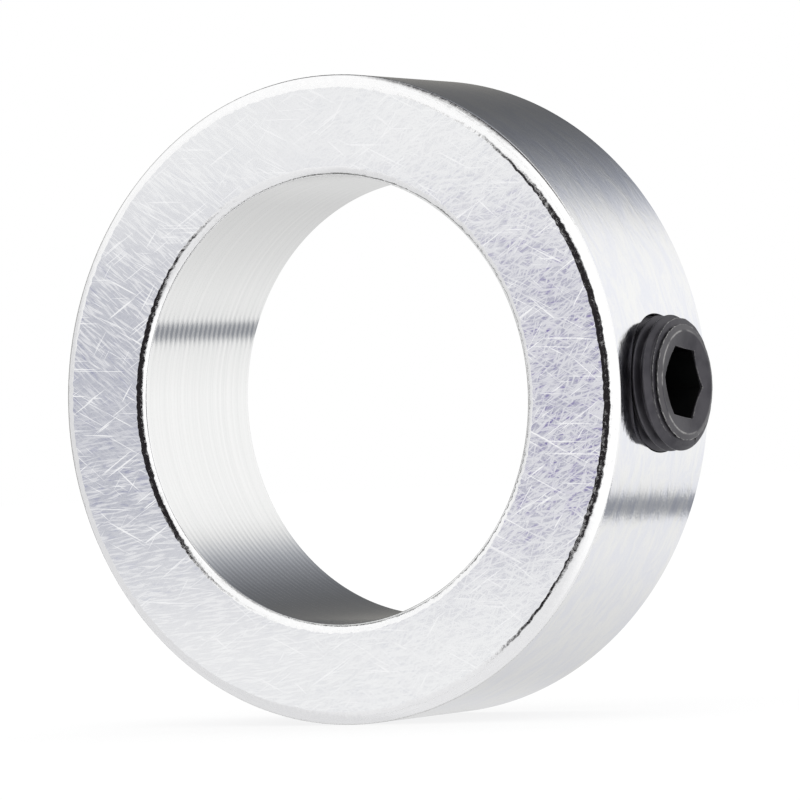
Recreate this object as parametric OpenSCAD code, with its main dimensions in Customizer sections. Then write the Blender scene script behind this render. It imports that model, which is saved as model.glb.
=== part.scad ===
// Solid shaft collar: a plain ring held on its shaft by one hexagon socket set screw.
// The bore runs along Y and the set screw along X. The origin is the centre of the bore.

/* [Ring] */
// Diameter of the bore
bore_d = 40; // [30:0.5:42]
// Outside diameter of the ring
ring_d = 58; // [56:0.5:64]
// Width of the ring along the shaft
ring_w = 18; // [15:0.5:30]
// Chamfer on the two outside edges
rim_chamfer = 1; // [0.3:0.1:1.4]
// Chamfer on the two edges of the bore
bore_chamfer = 0.7; // [0.2:0.1:1.4]

/* [Set screw] */
// Nominal diameter of the screw thread
screw_d = 12; // [11:0.5:13]
// Distance from one thread crest to the next
screw_pitch = 1; // [1:0.25:1.5]
// Length of the screw from its tip to its outer end
screw_len = 10; // [10:0.5:12]
// How far the outer end stands out of the ring at rest
screw_out = 2.25; // [1:0.25:5]
// Turn of the screw about its own axis at rest
screw_turn = 22; // [-180:1:180]
// Length of the chamfer at the outer end
end_chamfer = 0.9; // [0.4:0.1:1.2]
// Diameter of the lip round the socket
lip_d = 9.1; // [8.6:0.1:9.6]

/* [Socket and cup point] */
// Width of the hexagon socket across its flats
socket_af = 6; // [4:0.5:6]
// Depth of the hexagon socket
socket_depth = 4.8; // [3:0.1:5]
// Depth of the dished face between the lip and the socket
dish_depth = 0.45; // [0.2:0.05:0.8]
// Diameter of the cup point
cup_d = 8; // [7:0.1:8.5]

/* [Hidden] */

$fn = 96;

// Gap between the thread crests and the wall of the screw hole
thread_gap = 0.08;
// Amount by which the crests are below the nominal radius
crest_relief = 0.03;
// ISO thread form, as shares of the pitch
thread_depth_share = 0.6134;
crest_share = 0.125;
root_share = 0.167;
// Where the thread starts along the screw, as a share of the pitch
thread_start = 0.755;
// Straight pieces in one turn of the thread
turn_steps = 40;
// Half angle of the cones that a drill leaves
drill_angle = 60;
// Widths of the flat ring on the lip and of the flat rim on the cup point
lip_flat = 0.12;
cup_flat = 0.3;
// Amount by which cutting tools and blanks run past what they cut
over = 1;

ring_r = ring_d / 2;
bore_r = bore_d / 2;
half_w = ring_w / 2;
crest_r = screw_d / 2 - crest_relief;
root_r = crest_r - thread_depth_share * screw_pitch;
flank_share = (1 - crest_share - root_share) / 2;
hole_r = crest_r + thread_gap;
lip_r = lip_d / 2;
cup_r = cup_d / 2;
flat_r = socket_af / 2;
tip_x = ring_r + screw_out - screw_len;

zinc = [0.80, 0.81, 0.84];
black_oxide = [0.13, 0.13, 0.14];

collar_ring();
set_screw();

module collar_ring() {
    color(zinc)
        difference() {
            rotate([90, 0, 0])
                rotate_extrude()
                    ring_section();
            rotate([0, 90, 0])
                cylinder(r = hole_r, h = ring_r + over);
        }
}

// Half section of the ring, with the radius across
module ring_section() {
    polygon([
        [bore_r + bore_chamfer, -half_w],
        [ring_r - rim_chamfer, -half_w],
        [ring_r, rim_chamfer - half_w],
        [ring_r, half_w - rim_chamfer],
        [ring_r - rim_chamfer, half_w],
        [bore_r + bore_chamfer, half_w],
        [bore_r, half_w - bore_chamfer],
        [bore_r, bore_chamfer - half_w]
    ]);
}

module set_screw() {
    color(black_oxide)
        translate([tip_x, 0, 0])
            rotate([screw_turn, 0, 0])
                rotate([0, 90, 0])
                    difference() {
                        intersection() {
                            threaded_rod();
                            rotate_extrude()
                                blank_section();
                        }
                        hexagon_socket();
                        dish();
                        cup();
                    }
}

// Half section of the blank that trims the two ends of the thread, with its tip at zero
module blank_section() {
    blank_r = crest_r + over;
    end_slope = end_chamfer / (crest_r - lip_r);
    polygon([
        [0, 0],
        [cup_r, 0],
        [blank_r, blank_r - cup_r],
        [blank_r, screw_len - (blank_r - lip_r) * end_slope],
        [lip_r, screw_len],
        [0, screw_len]
    ]);
}

module hexagon_socket() {
    point_h = flat_r / tan(drill_angle);
    translate([0, 0, screw_len - socket_depth]) {
        cylinder(r = flat_r / cos(30), h = socket_depth + over, $fn = 6);
        translate([0, 0, -point_h])
            cylinder(r1 = 0, r2 = flat_r, h = point_h);
    }
}

// Shallow cone between the lip and the socket
module dish() {
    spread = (lip_r - lip_flat - flat_r) / dish_depth;
    cone_h = dish_depth + over;
    translate([0, 0, screw_len - dish_depth])
        cylinder(r1 = flat_r, r2 = flat_r + spread * cone_h, h = cone_h);
}

module cup() {
    mouth_r = cup_r - cup_flat;
    outer_r = mouth_r + over * tan(drill_angle);
    translate([0, 0, -over])
        cylinder(r1 = outer_r, r2 = 0, h = outer_r / tan(drill_angle));
}

// Right-hand thread that runs past both ends of the screw
module threaded_rod() {
    // One pitch of the thread form: radius, and height as a share of the pitch
    form = [
        [root_r, 0],
        [crest_r, flank_share],
        [crest_r, flank_share + crest_share],
        [root_r, 1 - root_share]
    ];
    pitches = ceil(screw_len / screw_pitch) + 3;
    top = len(form) * pitches;
    last = turn_steps - 1;
    low_z = (thread_start - 2) * screw_pitch;
    high_z = low_z + (pitches + 2) * screw_pitch;

    // Row k goes once round the rod, and its end meets the start of the row one pitch above
    function at(k, i) =
        i < turn_steps
            ? k * turn_steps + i
            : (k + len(form)) * turn_steps;
    wall = [
        for (k = [0:top], i = [0:last])
            let (corner = form[k % len(form)])
            let (rise = floor(k / len(form)) + corner[1] + i / turn_steps)
            let (a = 360 * i / turn_steps)
            [corner[0] * cos(a), corner[0] * sin(a), low_z + rise * screw_pitch]
    ];
    low_centre = len(wall);
    high_centre = low_centre + 1;
    low_loop = [
        for (i = [0:last]) at(0, i),
        for (k = [len(form):-1:1]) at(k, 0)
    ];
    high_loop = [
        for (i = [0:last]) at(top, i),
        for (k = [1:len(form)]) at(top - k, last)
    ];
    wall_faces = [
        for (k = [0:top - 1], i = [0:last])
            if (i < last || k < top - len(form))
                each [
                    [at(k, i), at(k + 1, i), at(k + 1, i + 1)],
                    [at(k, i), at(k + 1, i + 1), at(k, i + 1)]
                ]
    ];
    polyhedron(
        points = concat(wall, [[0, 0, low_z - screw_pitch], [0, 0, high_z]]),
        faces = concat(
            wall_faces,
            fan(low_centre, low_loop, false),
            fan(high_centre, high_loop, true)
        )
    );
}

// Triangles from a centre point to each side of a loop of points
function fan(centre, loop, flip) = [
    for (j = [0:len(loop) - 1])
        let (a = loop[j])
        let (b = loop[(j + 1) % len(loop)])
        flip ? [centre, b, a] : [centre, a, b]
];
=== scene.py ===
import math

import bmesh
import bpy
import numpy as np
from mathutils import Matrix, Vector


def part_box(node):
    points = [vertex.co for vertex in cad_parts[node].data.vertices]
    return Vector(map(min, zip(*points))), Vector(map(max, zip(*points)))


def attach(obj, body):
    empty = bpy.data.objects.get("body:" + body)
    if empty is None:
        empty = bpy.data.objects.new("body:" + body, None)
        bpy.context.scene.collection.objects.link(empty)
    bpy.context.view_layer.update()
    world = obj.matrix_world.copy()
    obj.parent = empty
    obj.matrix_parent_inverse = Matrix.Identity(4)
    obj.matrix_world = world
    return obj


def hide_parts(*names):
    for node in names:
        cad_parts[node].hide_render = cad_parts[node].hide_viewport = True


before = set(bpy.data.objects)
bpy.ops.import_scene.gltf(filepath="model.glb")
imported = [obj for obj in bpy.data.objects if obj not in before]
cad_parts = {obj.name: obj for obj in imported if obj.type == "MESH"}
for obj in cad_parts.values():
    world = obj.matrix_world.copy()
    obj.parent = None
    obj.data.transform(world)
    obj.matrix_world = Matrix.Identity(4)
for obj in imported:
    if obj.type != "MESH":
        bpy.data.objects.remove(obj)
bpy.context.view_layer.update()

# The scene is in metres. Sizes below are in millimetres, and MM turns them into metres.
MM = 0.001

# Ring
RING_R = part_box("collar_ring")[1].x / MM
HALF_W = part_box("collar_ring")[1].y / MM
BORE_R = 20.0
RING_STEPS = 1080

# Rims: where the flat faces end, and the length and slopes of the short steps that round off
# each rim. An ease rounds the last corner, where a rim meets its wall.
FLAT_OUT_R = 27.8
FLAT_IN_R = 20.78
RIM_STEP = 0.18
BORE_STEP = 0.15
RIM_SLOPES = (14, 22, 30, 38, 45)
BORE_SLOPES = (14, 22, 30, 38)
RIM_EASE = 0.13
BORE_EASE = 0.08

# Unevenness of the rims, and how much of it a section's rows share
RIM_JAG = 0.040
BORE_JAG = 0.042
JAG_SHARED, JAG_OWN = 0.8, 0.25
JAG_SEED = 11

# Thread forms are pairs: a share of the pitch, and the radius there. Their corners are eased
# by a mean over these steps of the pitch.
EASE_STEPS = np.linspace(-0.03, 0.03, 7)

# Tapped hole, and the rod that cuts it, whose low end is inside the bore
HOLE_R = 6.05
GROOVE_R = HOLE_R + 0.17
GROOVE_FORM = ((0.0, HOLE_R), (0.30, GROOVE_R), (0.42, GROOVE_R), (0.72, HOLE_R))
GROOVE_START = 1.85
CUTTER_LOW = -3.0
CUTTER_ROWS, CUTTER_STEPS = 193, 144

# Set screw, measured along its axis from the cup point at 0 to its outer end at SCREW_LEN
SCREW_OUT_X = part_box("set_screw")[1].x / MM
SCREW_LEN = SCREW_OUT_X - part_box("set_screw")[0].x / MM
SCREW_TURN = 22.0
PITCH = 1.0
CREST_R = 5.97
ROOT_R = CREST_R - 0.6134 * PITCH
THREAD_FORM = ((0.0, ROOT_R), (0.354, CREST_R), (0.479, CREST_R), (0.833, ROOT_R))
THREAD_START = 0.755

# Lip and chamfer of the outer end, and the narrow neck behind the chamfer
LIP_R = 4.55
LIP_IN_R = 4.43
LIP_SLOPE = 2.6
NECK_R = 4.9
NECK_FROM, NECK_TO = 0.25, 0.40
NECK_SLOPES = (9.0, 3.6)

# Dish, hexagon socket and cup point
DISH_DEPTH = 0.45
DISH_SHARES = (0.04, 0.3, 0.6, 0.85)
SOCKET_AF = 6.0
SOCKET_DEPTH = 4.8
CUP_R = 4.0
CUP_IN_R = 3.7
CONE_TAN = math.tan(math.radians(60))

# Small steps that round off the set screw's corners, and its mesh
CORNER = 0.03
MARGIN = 0.04
LIP_DROP = 0.012
SCREW_STEPS = 240
FORM_STEPS = 28
SHARP_ANGLE = 28

# Points closer than this, in metres, are merged
MERGE = 1e-8

# Camera: its place seen from the front face's centre, and how far to the right it aims
CAM_AZIMUTH = 32.0
CAM_ELEVATION = -0.68
CAM_ROLL = 3.15
CAM_DISTANCE = 464.0
CAM_LENS = 234.5
AIM_RIGHT = 6.24


# ---------------------------------------------------------------- meshes


def mesh_from_rows(name, rows, closed, caps=()):
    """Mesh from rows of points that each go once round, and the end points of an open one.

    closed joins the last row to the first. Faces are in the order of their rows.
    """
    count, steps = rows.shape[0], rows.shape[1]
    points = [tuple(p) for p in rows.reshape(-1, 3)]
    faces = []
    last = count if closed else count - 1
    for k in range(last):
        k2 = (k + 1) % count
        for i in range(steps):
            j = (i + 1) % steps
            faces.append((k * steps + i, k * steps + j, k2 * steps + j, k2 * steps + i))
    for cap, k in zip(caps, (0, count - 1)):
        points.append(tuple(cap))
        for i in range(steps):
            j = (i + 1) % steps
            a, b = k * steps + i, k * steps + j
            faces.append((len(points) - 1, b, a) if k == 0 else (len(points) - 1, a, b))
    mesh = bpy.data.meshes.new(name)
    mesh.from_pydata(points, [], faces)
    return mesh


def tidy_mesh(mesh):
    """Merges points at the same place, drops faces with no area and points all faces outwards."""
    bm = bmesh.new()
    bm.from_mesh(mesh)
    bmesh.ops.remove_doubles(bm, verts=bm.verts, dist=MERGE)
    bmesh.ops.dissolve_degenerate(bm, edges=bm.edges, dist=MERGE)
    bmesh.ops.recalc_face_normals(bm, faces=bm.faces)
    bm.to_mesh(mesh)
    bm.free()
    mesh.update()


def link(name, mesh):
    """New object with this mesh, in the scene."""
    obj = bpy.data.objects.new(name, mesh)
    bpy.context.scene.collection.objects.link(obj)
    return obj


def smooth_noise(rng, count, reach):
    """Noise round a closed loop with a spread of one, smoothed over reach neighbours."""
    raw = rng.standard_normal(count)
    kernel = np.hanning(2 * reach + 3)[1:-1]
    padded = np.concatenate([raw[-reach:], raw, raw[:reach]])
    soft = np.convolve(padded, kernel, "valid")
    return soft / soft.std()


# ---------------------------------------------------------------- ring


ZONES = ("face", "edge", "rim", "bore", "hole")


def rounded_edge(r, slopes, step, out, end_r, ease, jag):
    """Section from the flat face to the wall: radius, depth and jag of each row."""
    rows = []
    y = 0.0
    for slope in slopes:
        rows.append((r, y, jag))
        r += out * step * math.cos(math.radians(slope))
        y += step * math.sin(math.radians(slope))
    rows.append((r, y, jag * 0.5))
    drop = abs(end_r - r)
    rows.append((end_r - out * 3 * ease, y + drop - 3 * ease, 0.0))
    rows.append((end_r - out * ease, y + drop - ease, 0.0))
    rows.append((end_r, y + drop + ease, 0.0))
    return rows


def half_profile():
    """Half of the ring's section: its bore edge and its rim, each from the flat face."""
    bore_side = rounded_edge(FLAT_IN_R, BORE_SLOPES, BORE_STEP, -1, BORE_R, BORE_EASE, BORE_JAG)
    rim_side = rounded_edge(FLAT_OUT_R, RIM_SLOPES, RIM_STEP, 1, RING_R, RIM_EASE, RIM_JAG)
    return bore_side, rim_side


def ring_profile():
    """Closed section as radius, y, jag and the zone of the strip that follows each point."""
    bore_side, rim_side = half_profile()
    loop = []
    for side, first, second in ((-1, bore_side, rim_side), (1, rim_side, bore_side)):
        walls = ("face", "rim") if side < 0 else ("face", "bore")
        parts = [(r, side * (HALF_W - y), jag, "edge") for r, y, jag in reversed(first)]
        parts[-1] = parts[-1][:3] + (walls[0],)
        parts += [(r, side * (HALF_W - y), jag, "edge") for r, y, jag in second]
        parts[-1] = parts[-1][:3] + (walls[1],)
        loop += parts
    return loop


def ring_mesh():
    """Ring without its screw hole. Each strip's faces have the material slot of their zone."""
    rng = np.random.default_rng(JAG_SEED)
    loop = ring_profile()
    turn = np.arange(RING_STEPS) * 2 * math.pi / RING_STEPS
    rows = []
    shared = {side: smooth_noise(rng, RING_STEPS, 1) for side in (-1, 1)}
    for r, y, jag, zone in loop:
        own = smooth_noise(rng, RING_STEPS, 1)
        radius = r + jag * (shared[np.sign(y)] * JAG_SHARED + own * JAG_OWN)
        radius = np.clip(radius, BORE_R, RING_R)
        depth = np.full(RING_STEPS, y)
        rows.append(np.stack([radius * np.cos(turn), depth, radius * np.sin(turn)], 1))
    mesh = mesh_from_rows("ring", np.array(rows) * MM, True)
    for zone in ZONES:
        mesh.materials.append(bpy.data.materials.new(zone))
    index = [ZONES.index(zone) for r, y, jag, zone in loop for i in range(RING_STEPS)]
    mesh.polygons.foreach_set("material_index", index)
    tidy_mesh(mesh)
    return mesh


def form_radius(form, share):
    """Radius of a thread form at shares of the pitch, with its corners eased."""
    shares = [p[0] for p in form]
    radii = [p[1] for p in form]
    soft = [np.interp(share + d, shares, radii, period=1.0) for d in EASE_STEPS]
    return np.mean(soft, 0)


def helix_rows(form, low, high, start, steps, samples):
    """Heights and radii of rows that follow a right-hand thread between two heights."""
    turn = np.arange(steps) / steps
    first = math.floor((low - start) / PITCH) - 1
    last = math.ceil((high - start) / PITCH) + 1
    share = np.arange(first * samples, last * samples + 1) / samples
    height = start + (share[:, None] + turn[None, :]) * PITCH
    radius = np.repeat(form_radius(form, share % 1.0)[:, None], steps, 1)
    return np.clip(height, low, high), radius


def rod_to_frame(points):
    """From the rod's own frame, with its axis up, to the part's frame with its axis along X."""
    turn = math.radians(SCREW_TURN)
    x, y, z = points[..., 0], points[..., 1], points[..., 2]
    across, up = y, -x
    return np.stack(
        [
            z + SCREW_OUT_X - SCREW_LEN,
            across * math.cos(turn) - up * math.sin(turn),
            across * math.sin(turn) + up * math.cos(turn),
        ],
        -1,
    )


def thread_cutter():
    """Rod with outward ridges that cuts the screw hole and the grooves of its thread."""
    low, high = CUTTER_LOW, SCREW_LEN - 1.0
    height = np.linspace(low, high, CUTTER_ROWS)[:, None]
    share = np.arange(CUTTER_STEPS) / CUTTER_STEPS
    turn = share * 2 * math.pi
    radius = form_radius(GROOVE_FORM, ((height + GROOVE_START) / PITCH - share) % 1.0)
    height = np.broadcast_to(height, radius.shape)
    rows = np.stack([radius * np.cos(turn), radius * np.sin(turn), height], -1)
    caps = rod_to_frame(np.array([[0, 0, low], [0, 0, high]])) * MM
    mesh = mesh_from_rows("cutter", rod_to_frame(rows) * MM, False, caps)
    mesh.materials.append(bpy.data.materials.new("cut"))
    tidy_mesh(mesh)
    return mesh


def cut(obj, cutter_mesh):
    """Cuts the cutter out of the object and keeps the result as its mesh."""
    cutter = link("cutter", cutter_mesh)
    step = obj.modifiers.new("cut", "BOOLEAN")
    step.operation = "DIFFERENCE"
    step.solver = "EXACT"
    step.object = cutter
    step.material_mode = "TRANSFER"
    depsgraph = bpy.context.evaluated_depsgraph_get()
    result = bpy.data.meshes.new_from_object(obj.evaluated_get(depsgraph))
    obj.modifiers.clear()
    obj.data = result
    bpy.data.objects.remove(cutter)
    return result


def edge_slopes(rows):
    """Depths of an edge's rows and the surface's slope from the flat at each of them."""
    places = np.array([row[:2] for row in rows])
    steps = np.abs(np.diff(places, axis=0))
    slopes = np.degrees(np.arctan2(steps[:, 1], steps[:, 0]))
    at_rows = np.concatenate([slopes[:1], (slopes[1:] + slopes[:-1]) / 2, [90.0]])
    return places[:, 1], at_rows


def read_vectors(items, name):
    """One vector for each of a mesh's items, as an array."""
    values = np.zeros(len(items) * 3, np.float32)
    items.foreach_get(name, values)
    return values.reshape(-1, 3)


def set_ring_normals(mesh):
    """Gives the ring's surfaces their true normals, so that reflections stay even."""
    mesh.shade_smooth()
    normals = read_vectors(mesh.corner_normals, "vector")
    points = read_vectors(mesh.vertices, "co") / MM
    corner = np.zeros(len(mesh.loops), np.int32)
    mesh.loops.foreach_get("vertex_index", corner)
    bore_table, rim_table = (edge_slopes(rows) for rows in half_profile())
    for face in mesh.polygons:
        zone = ZONES[face.material_index] if face.material_index < len(ZONES) else "hole"
        span = list(face.loop_indices)
        if zone == "hole":
            normals[span] = face.normal
            continue
        place = points[corner[span]]
        out = place * (1, 0, 1)
        radius = np.linalg.norm(out, axis=1)
        out /= radius[:, None]
        outer = radius.mean() > (BORE_R + RING_R) / 2
        slope = {"face": 0.0, "rim": 90.0, "bore": 90.0}.get(zone)
        if slope is None:
            slope = np.interp(HALF_W - np.abs(place[:, 1]), *(rim_table if outer else bore_table))
        slope = np.radians(np.broadcast_to(slope, len(span)))[:, None]
        level = np.array((0, math.copysign(1, place[:, 1].mean()), 0))
        normals[span] = out * np.sin(slope) * (1 if outer else -1) + level * np.cos(slope)
    mesh.normals_split_custom_set([tuple(n) for n in normals])


def build_ring():
    """The ring, with one material for each zone. The last also serves the hole's cut faces."""
    ring = link("ring_body", ring_mesh())
    mesh = cut(ring, thread_cutter())
    set_ring_normals(mesh)
    paints = (face_zinc(), edge_zinc(), rim_zinc(), bore_zinc(), hole_steel())
    for k in range(len(mesh.materials)):
        mesh.materials[k] = paints[min(k, len(paints) - 1)]
    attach(ring, "collar")
    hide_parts("collar_ring")


# ---------------------------------------------------------------- set screw


def ring_row(radius, height):
    """One row round the rod from radii and heights that may change with the angle."""
    turn = np.arange(SCREW_STEPS) * 2 * math.pi / SCREW_STEPS
    radius = np.broadcast_to(radius, SCREW_STEPS)
    height = np.broadcast_to(height, SCREW_STEPS)
    return np.stack([radius * np.cos(turn), radius * np.sin(turn), height], -1)


def dish_height(radius):
    """Height of the shallow dish at a radius between the lip and the socket."""
    spread = (LIP_IN_R - SOCKET_AF / 2) / DISH_DEPTH
    return SCREW_LEN - (LIP_IN_R - radius) / spread


def thread_rows():
    """Rows up the thread, cut back by the end's chamfer, the neck and the cup's chamfer."""
    low, high = MARGIN, SCREW_LEN - MARGIN
    start = (THREAD_START - 2) * PITCH
    height, radius = helix_rows(THREAD_FORM, low, high, start, SCREW_STEPS, FORM_STEPS)
    depth = SCREW_LEN - height
    radius = np.minimum(radius, LIP_R + depth * LIP_SLOPE)
    neck = np.maximum((NECK_FROM - depth) * NECK_SLOPES[0], (depth - NECK_TO) * NECK_SLOPES[1])
    radius = np.minimum(radius, NECK_R + np.maximum(neck, 0.0))
    radius = np.minimum(radius, CUP_R + height)
    return [ring_row(r, h) for r, h in zip(radius, height)]


def socket_rows():
    """Rows from the lip down the dish and the hexagon socket to the edge of its drilled floor."""
    sixth = np.degrees(np.arange(SCREW_STEPS) * 2 * math.pi / SCREW_STEPS) % 60 - 30
    hexagon = SOCKET_AF / 2 / np.cos(np.radians(sixth))
    rim = hexagon + CORNER
    floor = SCREW_LEN - SOCKET_DEPTH
    rows = [ring_row(LIP_IN_R, SCREW_LEN)]
    for share in DISH_SHARES:
        r = LIP_IN_R + (rim - LIP_IN_R) * share
        rows.append(ring_row(r, dish_height(r)))
    rows.append(ring_row(rim, dish_height(rim)))
    rows.append(ring_row(hexagon, dish_height(hexagon) - MARGIN))
    rows.append(ring_row(hexagon, floor + CORNER))
    rows.append(ring_row(hexagon - CORNER, floor))
    rows.append(ring_row(SOCKET_AF / 2 - MARGIN, floor))
    return rows


def screw_rows():
    """All rows of the set screw, from the edge of its cup to the floor of its socket."""
    rows = [ring_row(CUP_IN_R, 0.0), ring_row(CUP_R - CORNER, 0.0)]
    rows.append(ring_row(CUP_R + 0.01, LIP_DROP))
    rows += thread_rows()
    rows.append(ring_row(LIP_R + 0.025, SCREW_LEN - LIP_DROP))
    rows.append(ring_row(LIP_R - 0.02, SCREW_LEN))
    return np.array(rows + socket_rows())


def build_screw():
    """The set screw. Its cup and the floor of its socket both end in a drilled cone."""
    cup_point = CUP_IN_R / CONE_TAN
    socket_point = SCREW_LEN - SOCKET_DEPTH - (SOCKET_AF / 2) / CONE_TAN
    caps = rod_to_frame(np.array([[0, 0, cup_point], [0, 0, socket_point]])) * MM
    mesh = mesh_from_rows("screw", rod_to_frame(screw_rows()) * MM, False, caps)
    tidy_mesh(mesh)
    mesh.shade_smooth()
    mesh.set_sharp_from_angle(angle=math.radians(SHARP_ANGLE))
    mesh.materials.append(black_oxide())
    screw = link("screw_body", mesh)
    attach(screw, "locking_screw")
    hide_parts("set_screw")


# ---------------------------------------------------------------- materials


class Tree:
    """Adds nodes to one shader tree. Calls return an output of the new node, or as they say."""

    def __init__(self, tree):
        self.tree = tree
        tree.nodes.clear()

    def node(self, kind, inputs=None, **settings):
        """New node with values or links in its inputs. Returns the node itself."""
        node = self.tree.nodes.new("ShaderNode" + kind)
        for name, value in settings.items():
            setattr(node, name, value)
        for name, value in (inputs or {}).items():
            socket = node.inputs[name]
            if isinstance(value, bpy.types.NodeSocket):
                self.tree.links.new(value, socket)
            else:
                socket.default_value = value
        return node

    def math(self, operation, *values):
        inputs = dict(enumerate(values))
        return self.node("Math", inputs, operation=operation).outputs[0]

    def scale_point(self, point, scale, turn=0.0):
        """Object point turned about the bore axis and stretched, for textures that run one way."""
        turned = self.node(
            "VectorRotate", {"Vector": point, "Angle": turn}, rotation_type="Y_AXIS"
        ).outputs[0]
        return self.node(
            "VectorMath", {0: turned, 1: scale}, operation="MULTIPLY"
        ).outputs[0]

    def noise(self, point, scale, detail=2.0, rough=0.5, warp=0.0):
        inputs = {"Vector": point, "Scale": scale, "Detail": detail}
        inputs.update({"Roughness": rough, "Distortion": warp})
        return self.node("TexNoise", inputs).outputs["Fac"]

    def ramp(self, value, stops):
        """Colour that runs straight from stop to stop."""
        node = self.node("ValToRGB", {"Fac": value})
        ramp = node.color_ramp
        ramp.interpolation = "LINEAR"
        while len(ramp.elements) < len(stops):
            ramp.elements.new(0.5)
        for element, (place, colour) in zip(ramp.elements, stops):
            element.position = place
            element.color = tuple(colour) + (1,)
        return node.outputs["Color"]

    def band(self, value, low, high, a=0.0, b=1.0):
        """Smooth change from a to b as the value goes from low to high."""
        inputs = {"Value": value, "From Min": low, "From Max": high, "To Min": a, "To Max": b}
        return self.node("MapRange", inputs, interpolation_type="SMOOTHSTEP").outputs[0]

    def mix(self, share, a, b):
        """Blend of two colours, a where share is 0 and b where it is 1."""
        node = self.node("Mix", {"Factor": share}, data_type="RGBA")
        for name, value in (("A", a), ("B", b)):
            socket = [s for s in node.inputs if s.name == name and s.type == "RGBA"][0]
            if isinstance(value, bpy.types.NodeSocket):
                self.tree.links.new(value, socket)
            else:
                socket.default_value = tuple(value) + (1,)
        return [s for s in node.outputs if s.type == "RGBA"][0]

    def bump(self, height, distance, normal=None):
        """Bumps as high as distance, in metres, on top of a normal."""
        inputs = {"Height": height, "Distance": distance, "Strength": 1.0}
        if normal is not None:
            inputs["Normal"] = normal
        return self.node("Bump", inputs).outputs[0]

    def metal(self, colour, rough, normal, share=1.0):
        """Finishes a material as metal, or partly so. Returns nothing."""
        inputs = {"Base Color": colour, "Metallic": share, "Roughness": rough, "Normal": normal}
        shader = self.node("BsdfPrincipled", inputs)
        out = self.node("OutputMaterial")
        self.tree.links.new(shader.outputs[0], out.inputs["Surface"])


def new_material(name):
    """Empty material, its tree and the object's own coordinates in metres."""
    material = bpy.data.materials.new(name)
    material.use_nodes = True
    tree = Tree(material.node_tree)
    point = tree.node("TexCoord").outputs["Object"]
    return material, tree, point


# Strokes left by grinding the faces: tilt from level in degrees, fineness, shortness, and where
# they show
# most: -1 upper left of the bore, 1 right of it, 0 everywhere but upper left. Where they show
# follows how light falls.
LIGHT_STROKES = (
    (36, 3500, 360, 1), (29, 3900, 430, 1), (-27, 3700, 420, 1), (-43, 3600, 330, -1),
    (-34, 3900, 370, -1), (3, 3700, 320, 0), (11, 4000, 390, 0), (67, 3900, 560, 1),
)
DARK_STROKES = ((34, 2500, 520, 1), (-40, 2600, 480, -1), (1, 2800, 560, 0))
# How the noise turns into strokes: where they start and where they are full
LIGHT_BAND = (0.515, 0.625, 0.0, 1.0)
DARK_BAND = (0.34, 0.48, 1.0, 0.0)
# Long scratches: tilt, fineness, shortness and how rare they are
LONG_STROKES = (
    (31, 3600, 120, 0.63), (-27, 3600, 110, 0.64), (-3, 3900, 95, 0.64), (55, 3700, 150, 0.66),
    (-40, 3800, 130, 0.655),
)
# Colours of the faces, a painted reflection: left of the bore, right of it, and above and below
# it. The second set, under the dark strokes, is painted shade
FACE_PAINTED_REFLECTION = ((0.455, 0.465, 0.52), (0.42, 0.42, 0.505), (0.76, 0.765, 0.78))
FACE_PAINTED_SHADE = ((0.29, 0.30, 0.41), (0.19, 0.16, 0.36), (0.71, 0.72, 0.745))
# The same for the light strokes, beside the bore and above and below it, and for scratches: real
# grinding marks with a painted highlight
FACE_SHINE = ((0.77, 0.77, 0.79), (0.825, 0.83, 0.835))
SCRATCH_SHINE = (0.94, 0.94, 0.945)


def straight_lines(tree, point, turn, fine, length):
    """Noise drawn out into straight lines that run one way across the face."""
    turned = tree.scale_point(point, (length, 1.0, fine), math.radians(turn))
    return tree.noise(turned, 1.0, detail=2.0, rough=0.6)


def stroke_share(tree, right, upper_left, where):
    """How strongly strokes show here, from the side of the bore where they show most."""
    if where < 0:
        return upper_left
    if where > 0:
        return tree.band(right, 0.0, 1.0, 0.2, 1.0)
    return tree.band(upper_left, 0.0, 1.0, 0.95, 0.2)


def strokes(tree, point, table, band, right, upper_left):
    """Mask of the strokes in a table."""
    mask = 0.0
    for tilt, fine, length, where in table:
        line = tree.band(straight_lines(tree, point, tilt, fine, length), *band)
        line = tree.math("MULTIPLY", line, stroke_share(tree, right, upper_left, where))
        mask = tree.math("MAXIMUM", mask, line)
    return mask


def scratches(tree, point):
    """Mask of the long scratches."""
    mask = 0.0
    for tilt, fine, length, low in LONG_STROKES:
        line = straight_lines(tree, point, tilt, fine, length)
        mask = tree.math("MAXIMUM", mask, tree.band(line, low, low + 0.04))
    return mask


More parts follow.
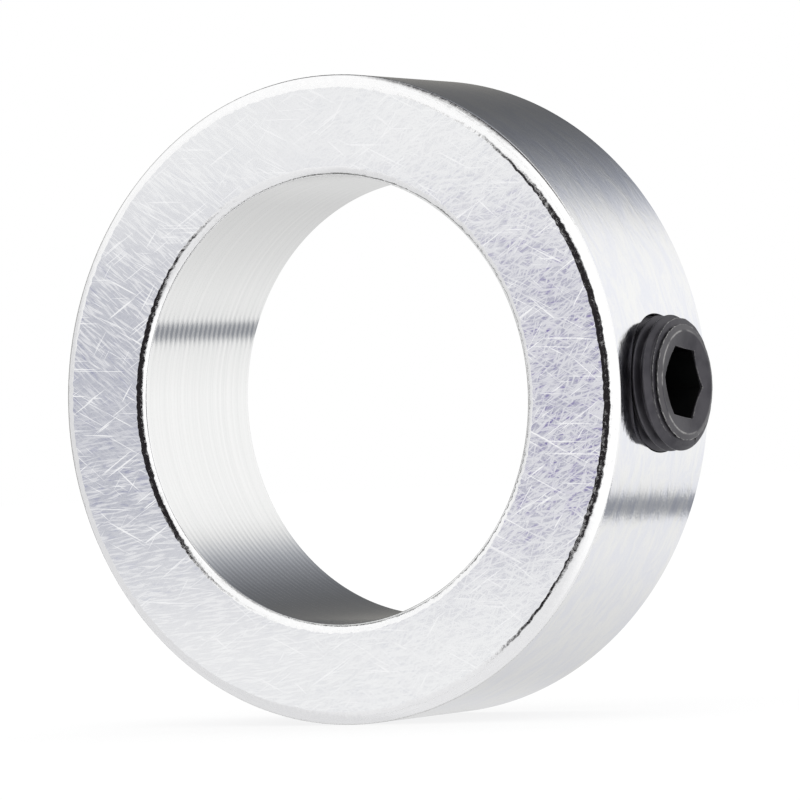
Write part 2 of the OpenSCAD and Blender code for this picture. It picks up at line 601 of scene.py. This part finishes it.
def face_zinc():
    """Bright zinc on the ground faces, with light and dark strokes and long scratches.

    Its tones round the bore are a painted reflection. The light strokes and scratches carry
    painted highlight, and the dark strokes are partly real marks and partly painted shade.
    """
    material, tree, point = new_material("zinc_scratched_face")
    parts = tree.node("SeparateXYZ", {"Vector": point})
    across, height = parts.outputs["X"], parts.outputs["Z"]
    above_below = tree.band(tree.math("ABSOLUTE", height), 0.006, 0.024)
    right = tree.band(across, -0.02, 0.02)
    top = tree.band(height, -0.010, 0.008, 0.1, 1.0)
    upper_left = tree.math("MULTIPLY", tree.band(right, 0.0, 1.0, 1.0, 0.05), top)
    # Light strokes are painted glints of real scratches. Dark strokes and their clouds are partly
    # painted shade.
    light = strokes(tree, point, LIGHT_STROKES, LIGHT_BAND, right, upper_left)
    dark = strokes(tree, point, DARK_STROKES, DARK_BAND, right, upper_left)
    cloud = tree.noise(point, 170.0, detail=3.0, rough=0.6)
    dark = tree.math("MULTIPLY", dark, tree.band(cloud, 0.40, 0.60))
    # Painted reflection: the faces' colour changes round the bore, darker and bluer left and
    # right, light above and below
    middle = tree.mix(above_below, tree.mix(right, *FACE_PAINTED_REFLECTION[:2]), FACE_PAINTED_REFLECTION[2])
    deep = tree.mix(above_below, tree.mix(right, *FACE_PAINTED_SHADE[:2]), FACE_PAINTED_SHADE[2])
    shine = tree.mix(above_below, *FACE_SHINE)
    colour = tree.mix(dark, middle, deep)
    colour = tree.mix(tree.math("MULTIPLY", light, 0.7), colour, shine)
    scratched = tree.band(above_below, 0.0, 1.0, 0.75, 0.4)
    scratched = tree.math("MULTIPLY", scratches(tree, point), scratched)
    colour = tree.mix(scratched, colour, SCRATCH_SHINE)
    rough = tree.band(light, 0.0, 1.0, 0.2, 0.16)
    normal = tree.bump(tree.math("SUBTRACT", light, dark), 0.0000015)
    tree.metal(colour, rough, normal)
    return material


# Duller and brighter colours of the other surfaces, and how metallic the black oxide is
EDGE_COLOURS = ((0.90, 0.90, 0.905), (0.95, 0.95, 0.95))
RIM_COLOURS = ((0.79, 0.80, 0.845), (0.855, 0.855, 0.85))
BORE_COLOURS = ((0.80, 0.805, 0.80), (0.86, 0.86, 0.855))
HOLE_COLOURS = ((0.40, 0.40, 0.42), (0.62, 0.62, 0.64))
OXIDE_COLOURS = ((0.044, 0.042, 0.050), (0.070, 0.067, 0.076))
# Light grey of rubbed oxide on the edges, also used as a painted highlight on the lip
OXIDE_WORN_AND_GLINT = (0.31, 0.305, 0.30)
# Painted shade deep in the hexagon socket
OXIDE_SOCKET_SHADE = (0.012, 0.012, 0.013)
OXIDE_METAL = 0.72
# Feed of the lathe tool in the bore
BORE_FEED = 0.79


def edge_zinc():
    """Zinc on the rounded rims, with specks and fine lines round them."""
    material, tree, point = new_material("zinc_edge")
    specks = tree.noise(point, 2600.0, detail=2.0, rough=0.7)
    lines = tree.scale_point(point, (60.0, 6000.0, 60.0))
    lines = tree.noise(lines, 1.0, detail=2.0, rough=0.6)
    colour = tree.mix(tree.band(specks, 0.3, 0.7), *EDGE_COLOURS)
    rough = tree.band(tree.math("MULTIPLY", specks, lines), 0.2, 0.42, 0.08, 0.42)
    normal = tree.bump(tree.math("ADD", specks, lines), 0.000009)
    tree.metal(colour, rough, normal)
    return material


def turned_lines(tree, point, fine, coarse):
    """Height of the fine rings that a lathe tool leaves round the bore axis."""
    rings = tree.noise(tree.scale_point(point, (14.0, fine, 14.0)), 1.0, detail=2.0, rough=0.7)
    broad = tree.noise(tree.scale_point(point, (9.0, coarse, 9.0)), 1.0, detail=1.0)
    return tree.math("ADD", rings, tree.math("MULTIPLY", broad, 0.6))


def rim_zinc():
    """Zinc on the turned outer surface, with soft clouds."""
    material, tree, point = new_material("zinc_turned_rim")
    lines = turned_lines(tree, point, 5200.0, 900.0)
    cloud = tree.scale_point(point, (230.0, 620.0, 230.0))
    cloud = tree.noise(cloud, 1.0, detail=5.0, rough=0.75, warp=0.6)
    colour = tree.mix(tree.band(cloud, 0.38, 0.62), *RIM_COLOURS)
    rough = tree.band(cloud, 0.3, 0.7, 0.07, 0.13)
    normal = tree.bump(lines, 0.000003)
    normal = tree.bump(cloud, 0.000018, normal)
    tree.metal(colour, rough, normal)
    return material


def bore_zinc():
    """Zinc on the turned bore, with the even rings of the tool's feed."""
    material, tree, point = new_material("zinc_turned_bore")
    depth = tree.node("SeparateXYZ", {"Vector": point}).outputs["Y"]
    wave = tree.math("SINE", tree.math("MULTIPLY", depth, 2 * math.pi / (BORE_FEED * MM)))
    wave = tree.math("ADD", tree.math("MULTIPLY", wave, 0.5), 0.5)
    lines = turned_lines(tree, point, 4200.0, 1300.0)
    height = tree.math("ADD", wave, lines)
    colour = tree.mix(tree.band(lines, 0.5, 1.1), *BORE_COLOURS)
    rough = tree.band(wave, 0.15, 0.85, 0.05, 0.17)
    normal = tree.bump(height, 0.000003)
    tree.metal(colour, rough, normal)
    return material


def hole_steel():
    """Dull grey steel in the tapped hole."""
    material, tree, point = new_material("zinc_tapped_hole")
    specks = tree.noise(point, 1800.0, detail=3.0, rough=0.7)
    colour = tree.mix(tree.band(specks, 0.3, 0.7), *HOLE_COLOURS)
    normal = tree.bump(specks, 0.00002)
    tree.metal(colour, tree.band(specks, 0.3, 0.7, 0.25, 0.4), normal)
    return material


def sharp_edges(tree):
    """Mask of the sharp edges, where the rounded normal differs from the true one."""
    soft = tree.node("Bevel", {"Radius": 0.12 * MM}, samples=8).outputs[0]
    true = tree.node("NewGeometry").outputs["Normal"]
    same = tree.node("VectorMath", {0: soft, 1: true}, operation="DOT_PRODUCT").outputs["Value"]
    return tree.band(same, 0.995, 0.93)


def below_end(tree, along, deep, shallow, a=0.0, b=1.0):
    """Change from a to b between two depths below the set screw's outer end."""
    return tree.band(along, (SCREW_OUT_X - deep) * MM, (SCREW_OUT_X - shallow) * MM, a, b)


def screw_wear_and_glint(tree, along, across, off_axis, specks, cloud):
    """Mask of the lighter black: rubbed sharp edges, a lighter chamfer, and a painted highlight on
    the lip's front half.
    """
    edge = tree.math("MULTIPLY", sharp_edges(tree), below_end(tree, along, 0.9, 0.5, 0.3, 1.0))
    edge = tree.math("MULTIPLY", edge, tree.band(specks, 0.38, 0.62))
    chamfer = tree.band(off_axis, (LIP_R + 0.02) * MM, (LIP_R + 0.08) * MM, 0.0, 0.16)
    chamfer = tree.math("MULTIPLY", chamfer, below_end(tree, along, 0.27, 0.24))
    # Painted highlight round the lip, on its front half only, where the lip catches the light
    lip = tree.math("ABSOLUTE", tree.math("SUBTRACT", off_axis, LIP_R * MM))
    lip = tree.band(lip, 0.05 * MM, 0.11 * MM, 1.0, 0.0)
    lip = tree.math("MULTIPLY", lip, below_end(tree, along, 0.1, 0.0))
    lip = tree.math("MULTIPLY", lip, tree.band(across, -0.001, 0.003, 1.0, 0.1))
    lip = tree.math("MULTIPLY", lip, tree.band(cloud, 0.40, 0.56))
    lip = tree.math("MULTIPLY", lip, tree.band(specks, 0.25, 0.55))
    return tree.math("MAXIMUM", tree.math("MAXIMUM", edge, chamfer), lip)


def black_oxide():
    """Black oxide on the set screw, rubbed and with a painted highlight near its outer end, and
    with painted shade inside the socket.
    """
    material, tree, point = new_material("black_oxide")
    specks = tree.noise(point, 2200.0, detail=3.0, rough=0.7)
    cloud = tree.noise(point, 420.0, detail=2.0, rough=0.6)
    parts = tree.node("SeparateXYZ", {"Vector": point})
    along, across = parts.outputs["X"], parts.outputs["Y"]
    off_axis = tree.node("VectorMath", {0: point, 1: (0, 1, 1)}, operation="MULTIPLY").outputs[0]
    off_axis = tree.node("VectorMath", {0: off_axis}, operation="LENGTH").outputs["Value"]
    colour = tree.mix(tree.band(cloud, 0.35, 0.65), *OXIDE_COLOURS)
    worn_and_glint = screw_wear_and_glint(tree, along, across, off_axis, specks, cloud)
    colour = tree.mix(worn_and_glint, colour, OXIDE_WORN_AND_GLINT)
    # Painted shade: near black deep in the socket, where little light gets in
    inside = below_end(tree, along, 0.62, 0.52, 1.0, 0.0)
    inside = tree.math("MULTIPLY", inside, tree.math("LESS_THAN", off_axis, 3.5 * MM))
    colour = tree.mix(inside, colour, OXIDE_SOCKET_SHADE)
    rough = tree.band(cloud, 0.3, 0.7, 0.34, 0.46)
    normal = tree.bump(specks, 0.000012)
    tree.metal(colour, rough, normal, OXIDE_METAL)
    return material


# ---------------------------------------------------------------- studio


# The back of the studio, which the outer surface and the bore reflect. Stops round the bore
# axis: turn in degrees from +X through +Z, brightness, and blue tint (minus for warm)
BACK_TONES = (
    (-180, 0.81, 0), (-168, 0.74, 0), (-150, 0.76, 0), (-128, 0.72, 0), (-110, 0.76, 0),
    (-88, 0.83, 0), (-64, 0.94, 0), (-50, 0.96, 0), (-47.5, 0.33, 1), (-41.5, 0.33, 1),
    (-38.5, 0.97, 0), (-10, 1.07, 0), (40, 1.07, 0), (58, 1.03, 0), (66, 0.90, 0),
    (74, 0.63, 0.5), (82, 0.40, 1), (92, 0.26, 1), (106, 0.165, 1), (124, 0.135, 0.5),
    (142, 0.16, 0), (158, 0.24, -0.5), (172, 0.30, -0.5), (178, 0.55, 0), (180, 0.81, 0),
)
# The cone of directions that the camera sees reflected, how far to each side of it the tones
# lean, and by how much
CONE = 28.7
CONE_INSIDE, CONE_OUTSIDE = 5, 8
CONE_LEAN = 1.2
# The ramp holds tones up to 1, so they are divided by this and multiplied again
TONE_TOP = 1.2
# Light front of the studio, from low to high
FRONT_COLOURS = ((0.86, 0.86, 0.87), (1.05, 1.05, 1.05))
# Oval patches on the front: azimuth, elevation, width, height, softness and colour
PATCHES = (
    (78, 10, 44, 62, 0.3, (1.14, 1.14, 1.14)),
    (-100, -28, 58, 42, 0.12, (0.78, 0.78, 0.79)),
    (-32, 0, 12, 20, 0.3, (1.08, 1.08, 1.08)),
)
# Direction of a dark beam above and behind the ring, and where it starts and is full
BEAM = (0.13, 0.385, 0.914)
BEAM_START, BEAM_FULL = 34, 20
BEAM_COLOUR = (0.09, 0.088, 0.092)
# Two oval patches that make one dark gap, which the front rims reflect as a dark line
GAPS = ((19, 4, 26, 34, 0.12), (-6, 0, 9, 34, 0.2))
GAP_COLOUR = (0.022, 0.020, 0.022)
# What soft light and the camera see instead of the toned studio
SOFT_LIGHT = (1.3, 1.3, 1.3)
BACKDROP = (1.0, 1.0, 1.0)
# Floor: half its width in metres, how light its surface is, and how much it glows
FLOOR_SIZE = 3.0
FLOOR_GREY = 0.2
FLOOR_GLOW = 0.78


def patch(tree, direction, azimuth, elevation, wide, high, soft):
    """Mask of an oval patch of the studio, 1 inside. Azimuth 0 is -Y and 90 is +X."""
    parts = tree.node("SeparateXYZ", {"Vector": direction})
    x, y, z = (parts.outputs[k] for k in "XYZ")
    turn = tree.math("ARCTAN2", x, tree.math("MULTIPLY", y, -1.0))
    turn = tree.math("SUBTRACT", turn, math.radians(azimuth))
    tilt = tree.math("SUBTRACT", tree.math("ARCSINE", z), math.radians(elevation))
    turn = tree.math("DIVIDE", turn, math.radians(wide))
    tilt = tree.math("DIVIDE", tilt, math.radians(high))
    away = tree.math("ADD", tree.math("POWER", turn, 2.0), tree.math("POWER", tilt, 2.0))
    return tree.band(tree.math("SQRT", away), 1.0 - soft, 1.0 + soft, 1.0, 0.0)


def back_of_studio(tree, x, y, z):
    """Tones of the studio's back, by turn round the bore axis."""
    turn = tree.math("ARCTAN2", z, x)
    cone = tree.math("MULTIPLY", tree.math("ARCCOSINE", y), 180 / math.pi)
    cone = tree.math("MAXIMUM", cone, CONE - CONE_INSIDE)
    cone = tree.math("MINIMUM", cone, CONE + CONE_OUTSIDE)
    lean = tree.math("MULTIPLY", tree.math("SUBTRACT", cone, CONE), CONE_LEAN / 360)
    share = tree.math("SUBTRACT", tree.math("DIVIDE", turn, 2 * math.pi), lean)
    share = tree.math("FRACT", tree.math("ADD", share, 1.5))
    stops = []
    for angle, tone, blue in BACK_TONES:
        tint = (1 - 0.035 * blue, 1.0, 1 + 0.09 * blue)
        stops.append(((angle + 180) / 360, [tone / TONE_TOP * t for t in tint]))
    back = tree.ramp(share, stops)
    return tree.node("VectorMath", {0: back, 1: (TONE_TOP,) * 3}, operation="MULTIPLY").outputs[0]


def front_of_studio(tree, direction, z):
    """Light front of the studio with its patches, dark beam and dark gap."""
    front = tree.mix(tree.band(z, -0.7, 0.7), *FRONT_COLOURS)
    for *shape, colour in PATCHES:
        front = tree.mix(patch(tree, direction, *shape), front, colour)
    beam = tree.node("VectorMath", {0: direction, 1: BEAM}, operation="DOT_PRODUCT")
    start, full = (math.cos(math.radians(angle)) for angle in (BEAM_START, BEAM_FULL))
    front = tree.mix(tree.band(beam.outputs["Value"], start, full), front, BEAM_COLOUR)
    gap = tree.math("MAXIMUM", *(patch(tree, direction, *shape) for shape in GAPS))
    return tree.mix(gap, front, GAP_COLOUR)


def build_studio():
    """White backdrop for the camera, and a softly toned studio for reflections."""
    world = bpy.data.worlds.new("studio")
    bpy.context.scene.world = world
    world.use_nodes = True
    tree = Tree(world.node_tree)
    direction = tree.node("TexCoord").outputs["Generated"]
    parts = tree.node("SeparateXYZ", {"Vector": direction})
    x, y, z = (parts.outputs[k] for k in "XYZ")
    back = back_of_studio(tree, x, y, z)
    front = front_of_studio(tree, direction, z)
    seen = tree.mix(tree.band(y, 0.45, 0.75), front, back)
    path = tree.node("LightPath")
    seen = tree.mix(path.outputs["Is Diffuse Ray"], seen, SOFT_LIGHT)
    seen = tree.mix(path.outputs["Is Camera Ray"], seen, BACKDROP)
    shader = tree.node("Background", {"Color": seen, "Strength": 1.0})
    out = tree.node("OutputWorld")
    tree.tree.links.new(shader.outputs[0], out.inputs["Surface"])


def build_floor():
    """Pale floor under the ring. It is white where nothing shades it."""
    size = FLOOR_SIZE
    low = -RING_R * MM
    mesh = bpy.data.meshes.new("floor")
    corners = [(-size, -size, low), (size, -size, low), (size, size, low), (-size, size, low)]
    mesh.from_pydata(corners, [], [(0, 1, 2, 3)])
    material = bpy.data.materials.new("pale_floor")
    material.use_nodes = True
    tree = Tree(material.node_tree)
    lit = tree.node("BsdfDiffuse", {"Color": (FLOOR_GREY,) * 3 + (1,)}).outputs[0]
    glow = tree.node("Emission", {"Color": (1, 1, 1, 1), "Strength": FLOOR_GLOW}).outputs[0]
    total = tree.node("AddShader")
    tree.tree.links.new(lit, total.inputs[0])
    tree.tree.links.new(glow, total.inputs[1])
    out = tree.node("OutputMaterial")
    tree.tree.links.new(total.outputs[0], out.inputs["Surface"])
    mesh.materials.append(material)
    floor = link("floor", mesh)
    floor.visible_glossy = False
    floor.visible_diffuse = False


def build_camera():
    """Camera that looks at the front face's centre, a little to one side."""
    azimuth, elevation = math.radians(CAM_AZIMUTH), math.radians(CAM_ELEVATION)
    back = Vector(
        (
            math.sin(azimuth) * math.cos(elevation),
            -math.cos(azimuth) * math.cos(elevation),
            math.sin(elevation),
        )
    )
    front_centre = Vector((0, -HALF_W, 0)) * MM
    roll = math.radians(CAM_ROLL)
    up = Vector((math.sin(roll), 0, math.cos(roll)))
    place = front_centre + back * CAM_DISTANCE * MM
    right = up.cross(back).normalized()
    aim = front_centre + right * AIM_RIGHT * MM
    look = (place - aim).normalized()
    right = up.cross(look).normalized()
    up = look.cross(right)
    data = bpy.data.cameras.new("camera")
    data.lens = CAM_LENS
    data.sensor_width = 36.0
    data.clip_start = 0.01
    data.clip_end = 50.0
    camera = bpy.data.objects.new("camera", data)
    turn = Matrix((right, up, look)).transposed().to_4x4()
    camera.matrix_world = Matrix.Translation(place) @ turn
    bpy.context.scene.collection.objects.link(camera)
    bpy.context.scene.camera = camera


bpy.context.scene.view_settings.view_transform = "Standard"
build_ring()
build_screw()
build_studio()
build_floor()
build_camera()
